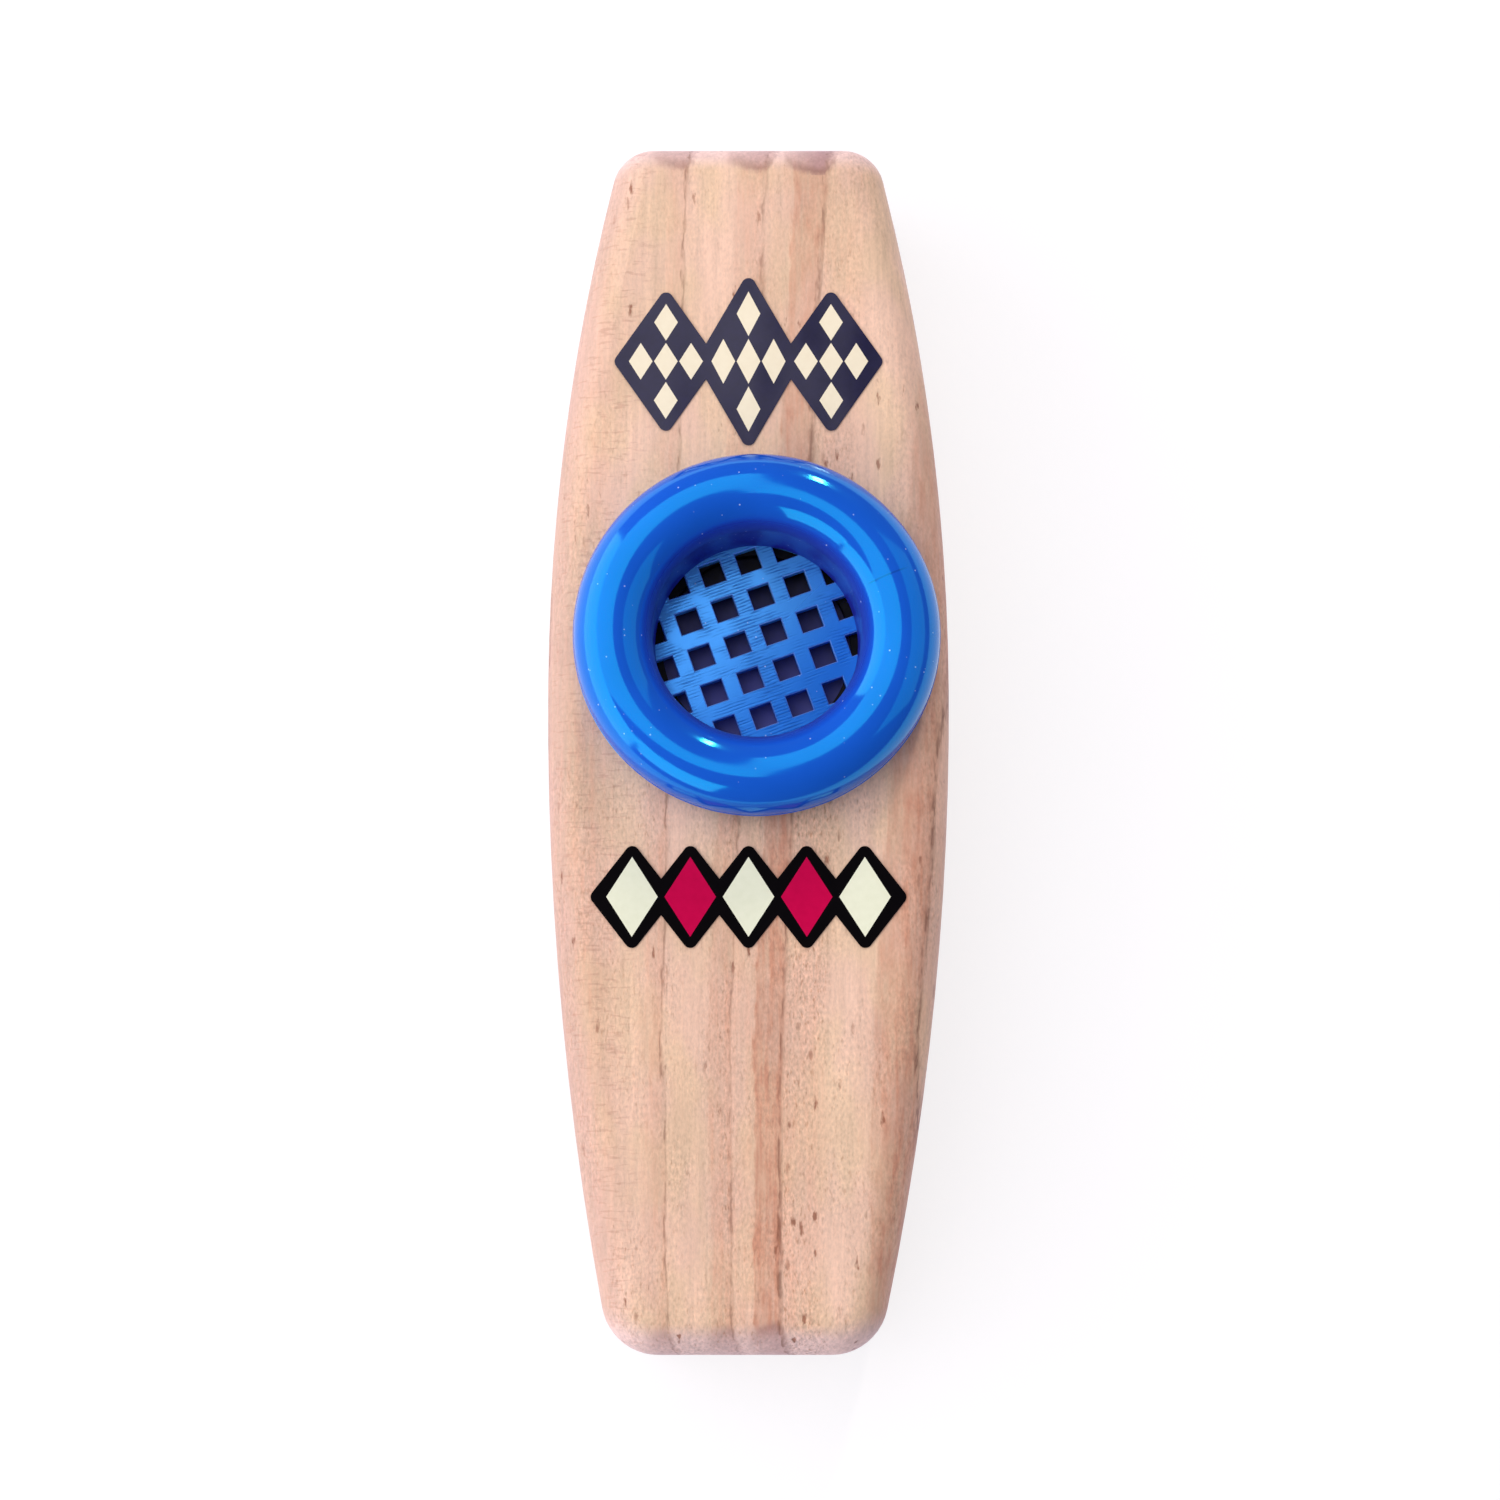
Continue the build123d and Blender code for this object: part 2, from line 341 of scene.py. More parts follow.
    # End grain, where the surface turns to face along the fibres: a pale mauve that is partly painted
    # light, the cool tint that the rounded ends catch, with scallops of dark latewood and a dark rim to
    # each scallop, keener at the mouth end
    end_grain_and_painted_tint = add(
        tree, "ShaderNodeMapRange", {"Value": facing_end, "From Min": 0.10, "From Max": 0.70},
        interpolation_type="SMOOTHSTEP",
    )
    keen = add(tree, "ShaderNodeMapRange", {
        "Value": y, "From Min": keen_start, "From Max": keen_end, "To Min": 0.60, "To Max": 1.0,
    })
    cut = add(tree, "ShaderNodeMath", {0: keen, 1: facing_end}, operation="MULTIPLY")
    cut = add(tree, "ShaderNodeMath", {0: cut, 1: rings["scallop"]}, operation="MULTIPLY")
    frayed = add(tree, "ShaderNodeMath", {0: noises["tooth"], 1: 0.10, 2: cut}, operation="MULTIPLY_ADD")
    scallop = add(tree, "ShaderNodeMapRange", {"Value": frayed, "From Min": 0.10, "From Max": 0.17})
    rim = add(tree, "ShaderNodeMapRange", {
        "Value": cut, "From Min": 0.26, "From Max": 0.10, "To Max": 0.95,
    })
    on_edge = add(tree, "ShaderNodeMapRange", {"Value": facing_end, "From Min": 0.85, "From Max": 0.55})
    tone = add(tree, "ShaderNodeMapRange", {
        "Value": rings["scallop"], "From Min": 0.1, "From Max": 0.9, "To Min": 0.2, "To Max": 0.85,
    })
    for share in (scallop, on_edge, keen, tone):
        rim = add(tree, "ShaderNodeMath", {0: rim, 1: share}, operation="MULTIPLY")
    for share in (tone, keen):
        scallop = add(tree, "ShaderNodeMath", {0: scallop, 1: share}, operation="MULTIPLY")

    # Painted shade: the left side, where the surface faces left, is greyed a little for how the light falls
    # on it
    painted_side_shade = add(
        tree, "ShaderNodeMapRange",
        {"Value": facing["X"], "From Min": -0.15, "From Max": -0.75, "To Max": 0.60},
        interpolation_type="SMOOTHSTEP",
    )

    # Colour: earlywood that blushes from straw to pink, and all that lies over it
    blush = add(
        tree, "ShaderNodeMapRange", {"Value": noises["blush"], "From Min": 0.38, "From Max": 0.62},
        interpolation_type="SMOOTHSTEP",
    )
    # The side's grey, #bfa090, is painted shade; the end's mauve, #e6cabc, is partly painted light
    wood = layered(tree, colour("#e8cba5"), (
        (blush, "#ebcaac"), (late, "#c28d6e"), (painted_side_shade, "#bfa090"), (end_grain_and_painted_tint, "#e6cabc"),
        (scallop, "#a8827e"), (rim, "#97705c"), (chatter, "#b98a72"), (resin, "#ae7255"),
        (line, "#74492f"), (fleck, "#8c5638"), (pore, "#a8744f"),
    ))
    tooth = add(tree, "ShaderNodeMath", {0: noises["tooth"], 1: 0.5}, operation="SUBTRACT")
    toothy = add(tree, "ShaderNodeMath", {0: open_grain, 1: 3.6, 2: 0.6}, operation="MULTIPLY_ADD")
    grain = add(
        tree, "ShaderNodeMath", {0: noises["fibre"], 1: 1.5, 2: noises["cloud"]}, operation="MULTIPLY_ADD",
    )
    grain = add(tree, "ShaderNodeMath", {0: tooth, 1: toothy, 2: grain}, operation="MULTIPLY_ADD")
    grain = add(tree, "ShaderNodeMapRange", {
        "Value": grain, "From Min": 0.25, "From Max": 2.25, "To Min": 0.69, "To Max": 1.33,
    })
    wood = add(tree, "ShaderNodeVectorMath", {0: wood, "Scale": grain}, operation="SCALE")

    # Fibres stand a few hundredths of a millimetre proud, and flecks are pits
    relief = add(tree, "ShaderNodeMath", {0: noises["fibre"], 1: noises["tooth"]}, operation="ADD")
    relief = add(tree, "ShaderNodeMath", {0: relief, 1: fleck}, operation="SUBTRACT")
    bump = add(tree, "ShaderNodeBump", {"Height": relief, "Strength": 0.4, "Distance": fibre_relief})
    feed(tree, shader, {"Base Color": wood, "Normal": bump})
    return material


def settled_dust(tree, place, crowding):
    """How much dust whitens a place: each speck has its own cell, and more show where it is crowded."""
    spread = add(tree, "ShaderNodeMapping", {"Vector": place, "Scale": per(0.85, 0.85, 0.85)})
    cells = add(tree, "ShaderNodeTexVoronoi", {"Vector": spread, "Scale": 1.0}).outputs
    near = add(tree, "ShaderNodeMapRange", {
        "Value": cells["Distance"], "From Min": 0.12, "From Max": 0.05,
    })
    chosen = add(tree, "ShaderNodeSeparateColor", {0: cells["Color"]})
    chosen = add(tree, "ShaderNodeMath", {0: crowding, 1: 0.45, 2: chosen}, operation="MULTIPLY_ADD")
    chosen = add(tree, "ShaderNodeMapRange", {"Value": chosen, "From Min": 0.70, "From Max": 1.05})
    return add(tree, "ShaderNodeMath", {0: near, 1: chosen}, operation="MULTIPLY")


def moulded_blue():
    """Glossy dyed plastic from a polished mould: deep blue, bright reflections, duller in the throat, with
    painted shade there.
    """
    material, tree, shader = new_material(
        "moulded_blue_plastic", "#205ecb", 0.08, IOR=1.68, Specular_IOR_Level=1.0,
        Specular_Tint=colour("#04e4ff"), Coat_Weight=0.08, Coat_Roughness=0.03,
    )
    place = add(tree, "ShaderNodeTexCoord").outputs["Object"]
    centred = add(tree, "ShaderNodeVectorMath", {0: place, 1: turret_axis}, operation="SUBTRACT")
    flat = add(tree, "ShaderNodeVectorMath", {0: centred, 1: (1.0, 1.0, 0.0)}, operation="MULTIPLY")
    radius = add(tree, "ShaderNodeVectorMath", {0: flat}, operation="LENGTH").outputs["Value"]
    throat_fade = 1.2 * mm
    throat_edge = throat_radius + throat_fade
    throat = add(
        tree, "ShaderNodeMapRange", {"Value": radius, "From Min": throat_edge, "From Max": throat_radius},
        interpolation_type="SMOOTHSTEP",
    )
    dust = settled_dust(tree, place, throat)

    # Weld line, where the plastic met itself in the mould, from the throat over the crest
    weld_turn = radians(22)
    weld_half_width = 0.13 * mm
    weld_core = 0.04 * mm
    weld_rise = 0.6 * mm
    weld_reach = 1.8 * mm
    weld_fall = 0.8 * mm
    weld_start = throat_edge + weld_rise
    weld_end = crest_radius + weld_reach
    out, beside = (
        add(tree, "ShaderNodeVectorMath", {0: centred, 1: way}, operation="DOT_PRODUCT").outputs["Value"]
        for way in ((cos(weld_turn), sin(weld_turn), 0.0), (-sin(weld_turn), cos(weld_turn), 0.0))
    )
    beside = add(tree, "ShaderNodeMath", {0: beside}, operation="ABSOLUTE")
    weld = add(tree, "ShaderNodeMapRange", {
        "Value": beside, "From Min": weld_half_width, "From Max": weld_core,
    })
    for nothing, full in ((throat_edge, weld_start), (weld_end, weld_end - weld_fall)):
        reach = add(tree, "ShaderNodeMapRange", {"Value": out, "From Min": nothing, "From Max": full})
        weld = add(tree, "ShaderNodeMath", {0: weld, 1: reach}, operation="MULTIPLY")

    spread = add(tree, "ShaderNodeMapping", {"Vector": place, "Scale": per(7.0, 7.0, 7.0)})
    cloud = add(tree, "ShaderNodeTexNoise", {"Vector": spread, "Scale": 1.0, "Detail": 2.0})
    weld_shade = add(tree, "ShaderNodeMath", {0: weld, 1: 0.6}, operation="MULTIPLY")
    # The throat's darker blue, #28289a, is painted shade where the ring's wall shades the throat
    dye_and_painted_light = layered(tree, colour("#1552c4"), (
        (cloud, "#1b5dd6"), (throat, "#28289a"), (weld_shade, "#123a92"), (dust, "#c3d6f8"),
    ))
    polish = add(tree, "ShaderNodeMapRange", {
        "Value": cloud, "From Min": 0.3, "From Max": 0.7, "To Min": 0.08, "To Max": 0.12,
    })
    polish = add(tree, "ShaderNodeMath", {0: throat, 1: 0.3, 2: polish}, operation="MULTIPLY_ADD")
    mould_relief = 0.05 * mm
    relief = add(tree, "ShaderNodeMath", {0: weld, 1: 0.5, 2: cloud}, operation="MULTIPLY_ADD")
    bump = add(tree, "ShaderNodeBump", {"Height": relief, "Strength": 0.2, "Distance": mould_relief})
    feed(tree, shader, {"Base Color": dye_and_painted_light, "Roughness": polish, "Normal": bump})
    return material


def tooled_blue():
    """Satin dyed plastic that keeps its mould's milling marks: fine broken grooves along the rows."""
    material, tree, shader = new_material(
        "tooled_blue_plastic", "#3577dc", 0.30, IOR=2.5,
        Specular_IOR_Level=1.0, Specular_Tint=colour("#48a6ff"),
    )
    source = add(tree, "ShaderNodeTexCoord").outputs
    place = source["Object"]
    centred = add(tree, "ShaderNodeVectorMath", {0: place, 1: turret_axis}, operation="SUBTRACT")
    rows = add(tree, "ShaderNodeMapping", {"Vector": centred, "Rotation": (0.0, 0.0, -grille_turn)})

    # Marks: grooves, broken up by brushing and by patches. The wave at metre_scale is one metre long
    metre_scale = 0.314
    groove_spacing = 0.32 * mm
    groove_depth = 0.05 * mm
    groove = add(
        tree, "ShaderNodeTexWave",
        {"Vector": rows, "Scale": metre_scale / groove_spacing, "Distortion": 2.5,
         "Detail": 3.0, "Detail Scale": 0.5},
        bands_direction="Y",
    ).outputs[1]
    groove = add(tree, "ShaderNodeMapRange", {"Value": groove, "From Min": 0.70, "From Max": 0.20})
    shares = {}
    for name, sizes, detail, low, high in (
        ("brush", (1.6, 0.22, 1.6), 3.0, 0.36, 0.56),
        ("patch", (3.5, 2.2, 3.5), 2.0, 0.44, 0.66),
    ):
        spread = add(tree, "ShaderNodeMapping", {"Vector": rows, "Scale": per(*sizes)})
        noise = add(tree, "ShaderNodeTexNoise", {"Vector": spread, "Scale": 1.0, "Detail": detail})
        shares[name] = add(tree, "ShaderNodeMapRange", {"Value": noise, "From Min": low, "From Max": high})

    # Most of the marks lie in a column over the disc's middle, where the plastic came in
    column_edge = 2.6 * mm
    column_core = 0.6 * mm
    column = add(tree, "ShaderNodeSeparateXYZ", {0: rows})
    column = add(tree, "ShaderNodeMath", {0: column}, operation="ABSOLUTE")
    column = add(
        tree, "ShaderNodeMapRange", {"Value": column, "From Min": column_edge, "From Max": column_core},
        interpolation_type="SMOOTHSTEP",
    )
    patch = add(tree, "ShaderNodeMath", {0: shares["patch"], 1: column}, operation="MAXIMUM")
    mark = groove
    for share in (shares["brush"], patch):
        mark = add(tree, "ShaderNodeMath", {0: mark, 1: share}, operation="MULTIPLY")
    shade = add(tree, "ShaderNodeMath", {0: mark, 1: 0.72}, operation="MULTIPLY")

    # The mould's polish wears from the upper left to the lower right, in roughness; the lighter blue
    # towards the upper left is a painted reflection
    side = add(tree, "ShaderNodeSeparateXYZ", {0: centred}).outputs
    slant = add(tree, "ShaderNodeMath", {0: side["Y"], 1: side["X"]}, operation="SUBTRACT")
    polish = add(
        tree, "ShaderNodeMapRange", {"Value": slant, "From Min": -throat_radius, "From Max": throat_radius},
        interpolation_type="SMOOTHSTEP",
    )
    worn = add(tree, "ShaderNodeMapRange", {"Value": polish, "To Min": 0.36, "To Max": 0.18})

    # The eased rims of the holes get a painted highlight, a lighter blue all round, and dust lies on the
    # disc
    facing_up = add(tree, "ShaderNodeSeparateXYZ", {0: source["Normal"]}).outputs["Z"]
    sloped = add(tree, "ShaderNodeMapRange", {"Value": facing_up, "From Min": 0.95, "From Max": 0.80})
    rim = add(tree, "ShaderNodeMapRange", {
        "Value": facing_up, "From Min": 0.40, "From Max": 0.60, "To Max": 0.75,
    })
    rim = add(tree, "ShaderNodeMath", {0: rim, 1: sloped}, operation="MULTIPLY")
    dust = settled_dust(tree, place, 0.4)
    # Painted light in these colours: #64c0ff towards the upper left is a painted reflection, #8abaff on the
    # rims a painted highlight
    dye_and_painted_light = layered(tree, colour("#1668d8"), (
        (polish, "#64c0ff"), (shade, "#173f9c"), (rim, "#8abaff"), (dust, "#d3e0f8"),
    ))

    # The disc swells by less than half a millimetre, which tilts what it reflects
    swell_radius = 120.0 * mm
    flat = add(tree, "ShaderNodeVectorMath", {0: centred, 1: (1.0, 1.0, 0.0)}, operation="MULTIPLY")
    fall = add(tree, "ShaderNodeVectorMath", {0: flat, 1: flat}, operation="DOT_PRODUCT").outputs["Value"]
    swell = add(tree, "ShaderNodeMath", {0: fall, 1: -0.5 / swell_radius}, operation="MULTIPLY")
    swell = add(tree, "ShaderNodeBump", {"Height": swell, "Strength": 1.0, "Distance": 1.0})
    bump = add(
        tree, "ShaderNodeBump",
        {"Height": mark, "Strength": 0.6, "Distance": groove_depth, "Normal": swell}, invert=True,
    )
    feed(tree, shader, {"Base Color": dye_and_painted_light, "Roughness": worn, "Normal": bump})
    return material


def satin_plastic(name, base, roughness, gloss):
    """Plain moulded plastic with a lightly uneven satin skin."""
    material, tree, shader = new_material(name, base, roughness, IOR=1.5, Specular_IOR_Level=gloss)
    uneven = 0.08
    skin_relief = 0.02 * mm
    place = add(tree, "ShaderNodeTexCoord").outputs["Object"]
    spread = add(tree, "ShaderNodeMapping", {"Vector": place, "Scale": per(1.1, 1.1, 1.1)})
    skin = add(tree, "ShaderNodeTexNoise", {"Vector": spread, "Scale": 1.0, "Detail": 3.0})
    sheen = add(tree, "ShaderNodeMapRange", {
        "Value": skin, "From Min": 0.3, "From Max": 0.7,
        "To Min": roughness - uneven, "To Max": roughness + uneven,
    })
    bump = add(tree, "ShaderNodeBump", {"Height": skin, "Strength": 0.15, "Distance": skin_relief})
    feed(tree, shader, {"Roughness": sheen, "Normal": bump})
    return material


def buzzing_film():
    """Thin smoky stretched film, faintly wrinkled, with painted shade: dark towards the mouth end, lighter
    towards the outlet.
    """
    material, tree, shader = new_material(
        "stretched_film", "#3c3f6e", 0.35, IOR=1.5, Specular_IOR_Level=0.12,
    )
    painted_shade_reach = 8.0 * mm
    wrinkle_turn = 0.5
    wrinkle_relief = 0.1 * mm
    place = add(tree, "ShaderNodeTexCoord").outputs["Object"]
    along = add(tree, "ShaderNodeSeparateXYZ", {0: place}).outputs["Y"]
    wrinkle = add(tree, "ShaderNodeMapping", {
        "Vector": place, "Scale": per(2.4, 6.0, 6.0), "Rotation": (0.0, 0.0, wrinkle_turn),
    })
    wrinkle = add(tree, "ShaderNodeTexNoise", {"Vector": wrinkle, "Scale": 1.0, "Detail": 2.0})
    # Painted shade: the film is dark towards the mouth end and lighter towards the outlet, mottled by the
    # wrinkles
    painted_shade_and_mottle = add(tree, "ShaderNodeMapRange", {
        "Value": along, "From Min": turret_axis.y + painted_shade_reach, "From Max": turret_axis.y - painted_shade_reach,
    })
    centred = add(tree, "ShaderNodeMath", {0: wrinkle, 1: 0.5}, operation="SUBTRACT")
    painted_shade_and_mottle = add(tree, "ShaderNodeMath", {0: centred, 1: 0.4, 2: painted_shade_and_mottle}, operation="MULTIPLY_ADD")
    smoke_and_painted_shade = layered(tree, colour("#10121f"), ((painted_shade_and_mottle, "#6a6fbe"),))
    bump = add(tree, "ShaderNodeBump", {"Height": wrinkle, "Strength": 0.4, "Distance": wrinkle_relief})
    feed(tree, shader, {"Base Color": smoke_and_painted_shade, "Normal": bump})
    return material


def printed_vinyl(name, base, deep, roughness, gloss):
    """Screen-printed vinyl: even colour, faint orange peel and a gloss that follows the wood beneath."""
    material, tree, shader = new_material(name, base, roughness, IOR=1.45, Specular_IOR_Level=gloss)
    place = add(tree, "ShaderNodeTexCoord").outputs["Object"]
    peel_relief = 0.02 * mm
    wave_relief = 0.25 * mm
    spread = add(tree, "ShaderNodeMapping", {"Vector": place, "Scale": per(0.7, 0.7, 0.7)})
    peel = add(tree, "ShaderNodeTexNoise", {"Vector": spread, "Scale": 1.0, "Detail": 2.0})
    spread = add(tree, "ShaderNodeMapping", {"Vector": place, "Scale": per(9.0, 9.0, 9.0)})
    wave = add(tree, "ShaderNodeTexNoise", {"Vector": spread, "Scale": 1.0, "Detail": 1.0})
    wave = add(tree, "ShaderNodeBump", {"Height": wave, "Strength": 1.0, "Distance": wave_relief})
    bump = add(tree, "ShaderNodeBump", {
        "Height": peel, "Strength": 0.12, "Distance": peel_relief, "Normal": wave,
    })
    feed(tree, shader, {"Base Color": layered(tree, colour(deep), ((peel, base),)), "Normal": bump})
    return material


pine = sanded_pine()
turret_blue = moulded_blue()
grille_blue = tooled_blue()
collar_blue = satin_plastic("satin_blue_plastic", "#1d4fae", 0.4, 0.5)
hoop_black = satin_plastic("satin_black_plastic", "#040408", 0.55, 0.15)
film = buzzing_film()
# The upper sticker's navy-tinted black is partly a painted sheen; the lower sticker's black is plain
black_vinyl_painted_sheen = printed_vinyl("black_vinyl", "#15143c", "#0e0d2c", 0.2, 0.5)
vinyl_matt = printed_vinyl("matt_black_vinyl", "#060406", "#020102", 0.5, 0.04)
ink_cream = printed_vinyl("cream_ink", "#f2ecca", "#ebe3bf", 0.35, 0.5)
ink_ivory = printed_vinyl("ivory_ink", "#edf3d3", "#e4ebc8", 0.5, 0.04)
ink_crimson = printed_vinyl("crimson_ink", "#cc0649", "#bd0342", 0.5, 0.04)


# Geometry Nodes

def new_tree(name, sizes):
    """Geometry Nodes group with one input socket for each named size, and those sockets by name."""
    tree = bpy.data.node_groups.new(name, "GeometryNodeTree")
    tree.interface.new_socket("Geometry", in_out="INPUT", socket_type="NodeSocketGeometry")
    for size, kind in sizes:
        tree.interface.new_socket(size, in_out="INPUT", socket_type="NodeSocket" + kind)
    tree.interface.new_socket("Geometry", in_out="OUTPUT", socket_type="NodeSocketGeometry")
    return tree, add(tree, "NodeGroupInput").outputs


def finish_tree(tree, geometry, size):
    """Puts what a group has made in its place, realizes it, gives it its material and ends the group."""
    placed = add(tree, "GeometryNodeTransform", {"Geometry": geometry, "Translation": size["Place"]})
    real = add(tree, "GeometryNodeRealizeInstances", {"Geometry": placed})
    made = add(tree, "GeometryNodeSetMaterial", {"Geometry": real, "Material": size["Material"]})
    add(tree, "NodeGroupOutput", {0: made})
    return tree


def grow(name, tree, seed, smooth_angle, **sizes):
    """Runs a group on a seed mesh and returns the result as a plain mesh."""
    grower = bpy.data.objects.new(name + "_seed", seed)
    bpy.context.scene.collection.objects.link(grower)
    modifier = grower.modifiers.new(name, "NODES")
    modifier.node_group = tree
    sockets = {item.name: item.identifier for item in tree.interface.items_tree if item.in_out == "INPUT"}
    for size, value in sizes.items():
        modifier[sockets[size.replace("_", " ")]] = value
    depsgraph = bpy.context.evaluated_depsgraph_get()
    mesh = bpy.data.meshes.new_from_object(grower.evaluated_get(depsgraph))
    mesh.name = name
    grower.modifiers.remove(modifier)
    bpy.data.objects.remove(grower)
    mesh.polygons.foreach_set("use_smooth", [True] * len(mesh.polygons))
    mesh.set_sharp_from_angle(angle=smooth_angle)
    return mesh


def outline_mesh(name, points):
    """Closed outline of edges, the seed of a swept section."""
    mesh = bpy.data.meshes.new(name)
    count = len(points)
    edges = [(i, (i + 1) % count) for i in range(count)]
    mesh.from_pydata([(px, py, 0.0) for px, py in points], edges, [])
    return mesh


def turned_tree():
    """A section swept round the turret's axis."""
    tree, size = new_tree("turned_piece", [
        ("Path radius", "Float"), ("Steps", "Int"), ("Place", "Vector"), ("Material", "Material"),
    ])
    section = add(tree, "GeometryNodeMeshToCurve", {0: size["Geometry"]})
    path = add(tree, "GeometryNodeCurvePrimitiveCircle", {
        "Resolution": size["Steps"], "Radius": size["Path radius"],
    })
    turned = add(tree, "GeometryNodeCurveToMesh", {"Curve": path, "Profile Curve": section})
    return finish_tree(tree, turned, size)


def thread_tree():
    """A ridge that follows a right-hand helix and runs out at both ends."""
    tree, size = new_tree("thread_ridge", [
        ("Path radius", "Float"), ("Turns", "Float"), ("Rise", "Float"), ("Steps", "Int"),
        ("Run out", "Float"), ("End share", "Float"), ("Place", "Vector"), ("Material", "Material"),
    ])
    section = add(tree, "GeometryNodeMeshToCurve", {0: size["Geometry"]})
    helix = add(tree, "GeometryNodeCurveSpiral", {
        "Resolution": size["Steps"], "Rotations": size["Turns"], "Start Radius": size["Path radius"],
        "End Radius": size["Path radius"], "Height": size["Rise"], "Reverse": True,
    })
    upright = add(tree, "GeometryNodeSetCurveNormal", {"Curve": helix}, mode="Z_UP")
    along = add(tree, "GeometryNodeSplineParameter").outputs["Factor"]
    from_end = add(tree, "ShaderNodeMath", {0: 1.0, 1: along}, operation="SUBTRACT")
    nearest = add(tree, "ShaderNodeMath", {0: along, 1: from_end}, operation="MINIMUM")
    fade = add(tree, "ShaderNodeMapRange", {
        "Value": nearest, "From Max": size["Run out"], "To Min": size["End share"],
    })
    ridge = add(tree, "GeometryNodeCurveToMesh", {
        "Curve": upright, "Profile Curve": section, "Scale": fade, "Fill Caps": True,
    })
    return finish_tree(tree, ridge, size)


def punched_tree():
    """A disc with a turned lattice of punched holes, cut off at the throat."""
    tree, size = new_tree("punched_disc", [
        ("Disc radius", "Float"), ("Throat radius", "Float"), ("Thickness", "Float"),
        ("Cut depth", "Float"), ("Steps", "Int"), ("Pitch", "Float"), ("Count", "Int"),
        ("Lattice", "Vector"), ("Turn", "Rotation"), ("Place", "Vector"), ("Material", "Material"),
    ])
    steps = add(tree, "ShaderNodeMath", {0: size["Count"], 1: 1.0}, operation="SUBTRACT")
    span = add(tree, "ShaderNodeMath", {0: steps, 1: size["Pitch"]}, operation="MULTIPLY")
    grid = add(tree, "GeometryNodeMeshGrid", {
        "Size X": span, "Size Y": span, "Vertices X": size["Count"], "Vertices Y": size["Count"],
    })
    moved = add(tree, "GeometryNodeTransform", {"Geometry": grid, "Translation": size["Lattice"]})
    punches = add(tree, "GeometryNodeInstanceOnPoints", {"Points": moved, "Instance": size["Geometry"]})
    punches = add(tree, "GeometryNodeRealizeInstances", {"Geometry": punches})
    turned = add(tree, "GeometryNodeTransform", {"Geometry": punches, "Rotation": size["Turn"]})
    throat, disc = (
        add(tree, "GeometryNodeMeshCylinder", {
            "Vertices": size["Steps"], "Radius": size[radius], "Depth": size[depth],
        })
        for radius, depth in (("Throat radius", "Cut depth"), ("Disc radius", "Thickness"))
    )
    cut = add(
        tree, "GeometryNodeMeshBoolean", {"Mesh 2": turned}, operation="INTERSECT", solver="EXACT",
    )
    feed(tree, cut, {"Mesh 2": throat})
    punched = add(
        tree, "GeometryNodeMeshBoolean", {"Mesh 1": disc, "Mesh 2": cut},
        operation="DIFFERENCE", solver="EXACT",
    )
    return finish_tree(tree, punched, size)


